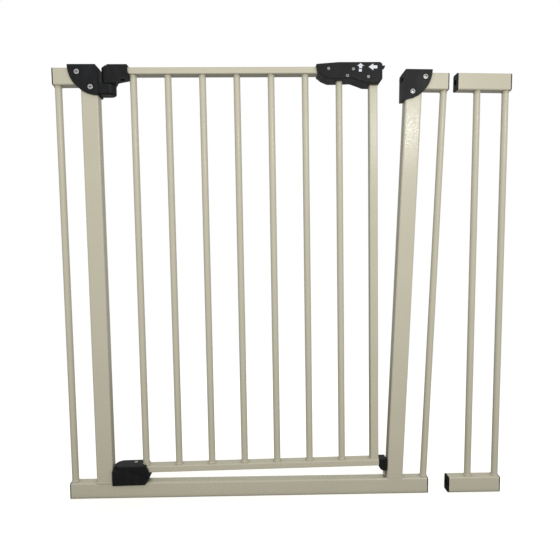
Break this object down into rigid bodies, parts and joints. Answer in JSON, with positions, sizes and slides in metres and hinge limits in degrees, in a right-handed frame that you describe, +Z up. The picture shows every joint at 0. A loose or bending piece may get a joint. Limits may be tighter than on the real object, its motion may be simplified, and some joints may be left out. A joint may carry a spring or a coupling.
{
  "type": "safety baby gate",
  "caption": "Pressure-fit metal safety gate with a lift-to-open swing door, thumb latch and a separate narrow extension panel.",
  "frame": {"origin": "middle of the bottom rail's underside, which stands on the floor", "axes": "+X along the bottom rail from the hinge side to the latch side, +Y from the front to the back, +Z up"},
  "size_m": [0.8203, 0.032, 0.7969],
  "materials": {
    "powder_coated_steel": "satin powder coat, warm greige",
    "black_plastic": "fine moulded texture, black",
    "zinc_steel": "zinc plated"
  },
  "bodies": {
    "base": {"bottom_rail": "powder_coated_steel", "bottom_plug_left": "black_plastic", "bottom_plug_right": "black_plastic"},
    "left_side": {"left_post": "powder_coated_steel", "left_outer_bar": "powder_coated_steel", "left_top_stub": "powder_coated_steel", "left_top_plug": "black_plastic", "left_corner_cover_front": "black_plastic", "left_corner_cover_rear": "black_plastic", "left_cover_screws": "zinc_steel", "top_hinge_seat": "black_plastic", "bottom_hinge_housing": "black_plastic", "closing_spring": "zinc_steel"},
    "hinge_pins": {"top_hinge_pin": "zinc_steel", "bottom_hinge_pin": "zinc_steel"},
    "door": {"door_top_rail": "powder_coated_steel", "door_bottom_rail": "powder_coated_steel", "door_bar_1": "powder_coated_steel", "door_bar_2": "powder_coated_steel", "door_bar_3": "powder_coated_steel", "door_bar_4": "powder_coated_steel", "door_bar_5": "powder_coated_steel", "door_bar_6": "powder_coated_steel", "door_bar_7": "powder_coated_steel", "door_closing_stile": "powder_coated_steel", "top_hinge_arm": "black_plastic", "top_hinge_arm_screw": "zinc_steel", "bottom_hinge_shoe": "black_plastic", "drop_bolt_holder": "black_plastic", "drop_bolt": "zinc_steel", "handle_front_shell": "black_plastic", "handle_rear_shell": "black_plastic", "handle_screws": "zinc_steel"},
    "latch": {"thumb_slider": "black_plastic", "latch_bolt": "zinc_steel", "latch_return_spring": "zinc_steel"},
    "right_post": {"right_post": "powder_coated_steel"},
    "right_bar": {"right_outer_bar": "powder_coated_steel"},
    "right_top": {"right_top_stub": "powder_coated_steel", "right_top_plug": "black_plastic", "right_corner_cover_front": "black_plastic", "right_corner_cover_rear": "black_plastic", "right_cover_screws": "zinc_steel", "strike_bumper": "black_plastic"},
    "extension": {"extension_bottom_rail": "powder_coated_steel", "extension_bottom_plug_left": "black_plastic", "extension_bottom_plug_right": "black_plastic", "extension_top_rail": "powder_coated_steel", "extension_top_plug_left": "black_plastic", "extension_top_plug_right": "black_plastic", "extension_bar_1": "powder_coated_steel", "extension_bar_2": "powder_coated_steel"}
  },
  "joints": [
    {"name": "extension_slide", "type": "slide", "parent": "base", "child": "extension", "axis": [-1, 0, 0], "range_m": [0, 0.038]},
    {"name": "left_side_flex", "type": "hinge", "parent": "base", "child": "left_side", "pos_m": [-0.335, 0, 0.03], "axis": [0, 1, 0], "range_deg": [0, 0.9001], "stiffness_Nm_per_rad": 1500},
    {"name": "right_post_flex", "type": "hinge", "parent": "base", "child": "right_post", "pos_m": [0.271, 0, 0.03], "axis": [0, -1, 0], "range_deg": [0, 1.9], "stiffness_Nm_per_rad": 800},
    {"name": "right_bar_flex", "type": "hinge", "parent": "base", "child": "right_bar", "pos_m": [0.328, 0, 0.03], "axis": [0, -1, 0], "range_deg": [0, 1.9]},
    {"name": "right_top_level", "type": "hinge", "parent": "right_post", "child": "right_top", "pos_m": [0.29487, 0, 0.7496], "axis": [0, 1, 0], "range_deg": [0, 1.9]},
    {"name": "door_swing", "type": "hinge", "parent": "left_side", "child": "hinge_pins", "pos_m": [-0.24432, 0, 0.40147], "axis": [-0.0157, 0, 0.9999], "range_deg": [-90, 90], "stiffness_Nm_per_rad": 0.8},
    {"name": "door_lift", "type": "slide", "parent": "hinge_pins", "child": "door", "axis": [-0.0157, 0, 0.9999], "range_m": [0, 0.01]},
    {"name": "thumb_slide", "type": "slide", "parent": "door", "child": "latch", "axis": [-0.9999, 0, -0.0157], "range_m": [0, 0.012], "stiffness_N_per_m": 150, "deforming": ["latch_return_spring"]}
  ],
  "couplings": [
    {"joint": "left_side_flex", "follows": "extension_slide", "rad_per_m": 0.41337},
    {"joint": "right_post_flex", "follows": "extension_slide", "rad_per_m": 0.87267},
    {"joint": "right_bar_flex", "follows": "extension_slide", "rad_per_m": 0.87267},
    {"joint": "right_top_level", "follows": "extension_slide", "rad_per_m": 0.87267}
  ]
}
